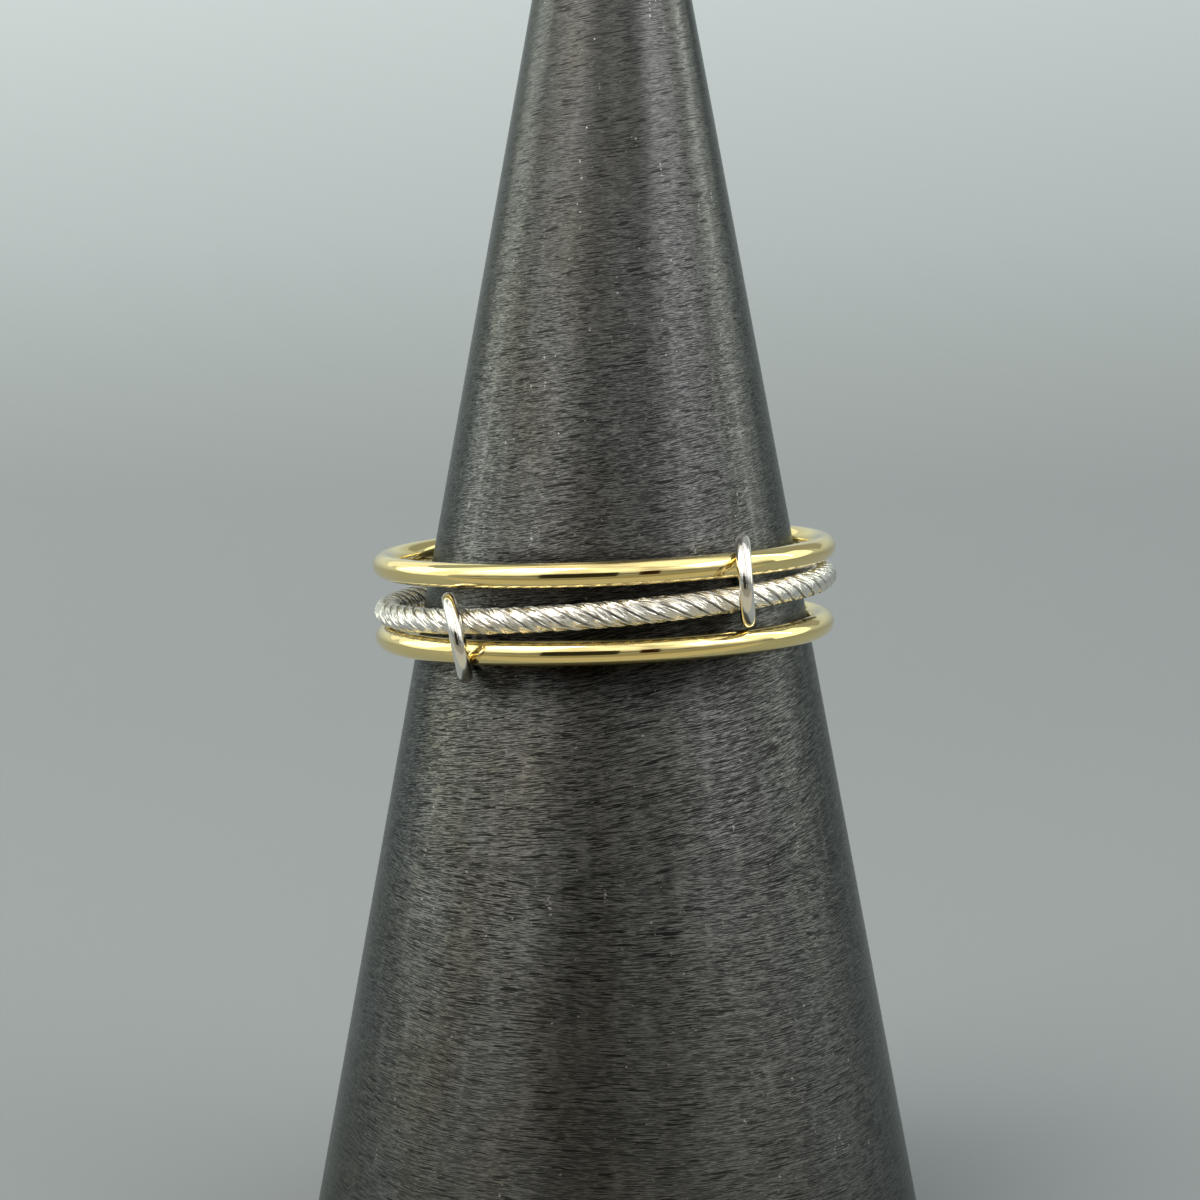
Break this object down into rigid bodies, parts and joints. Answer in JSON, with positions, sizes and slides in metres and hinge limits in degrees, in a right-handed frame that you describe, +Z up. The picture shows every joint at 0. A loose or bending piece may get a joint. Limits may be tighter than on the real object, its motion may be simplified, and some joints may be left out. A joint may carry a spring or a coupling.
{
  "type": "gimmel ring on a display cone",
  "caption": "Gimmel finger ring: polished wire bands and a twisted band held together by small wire links, worn round a plain tapered display cone.",
  "frame": {"origin": "centre of the display cone's flat base, on the surface it stands on", "axes": "+Z up along the cone, -Y towards the front where the two links show, +X to the viewer's right"},
  "size_m": [0.0266, 0.0266, 0.06],
  "materials": {
    "yellow_gold": "polished yellow gold",
    "white_metal": "bright polished silver or white gold",
    "blackened_steel": "blackened, brushed round and slightly askew"
  },
  "bodies": {
    "root": {"top_band": "yellow_gold", "middle_band": "white_metal", "bottom_band": "yellow_gold", "upper_link": "white_metal", "lower_link": "white_metal", "display_cone": "blackened_steel"}
  },
  "joints": []
}
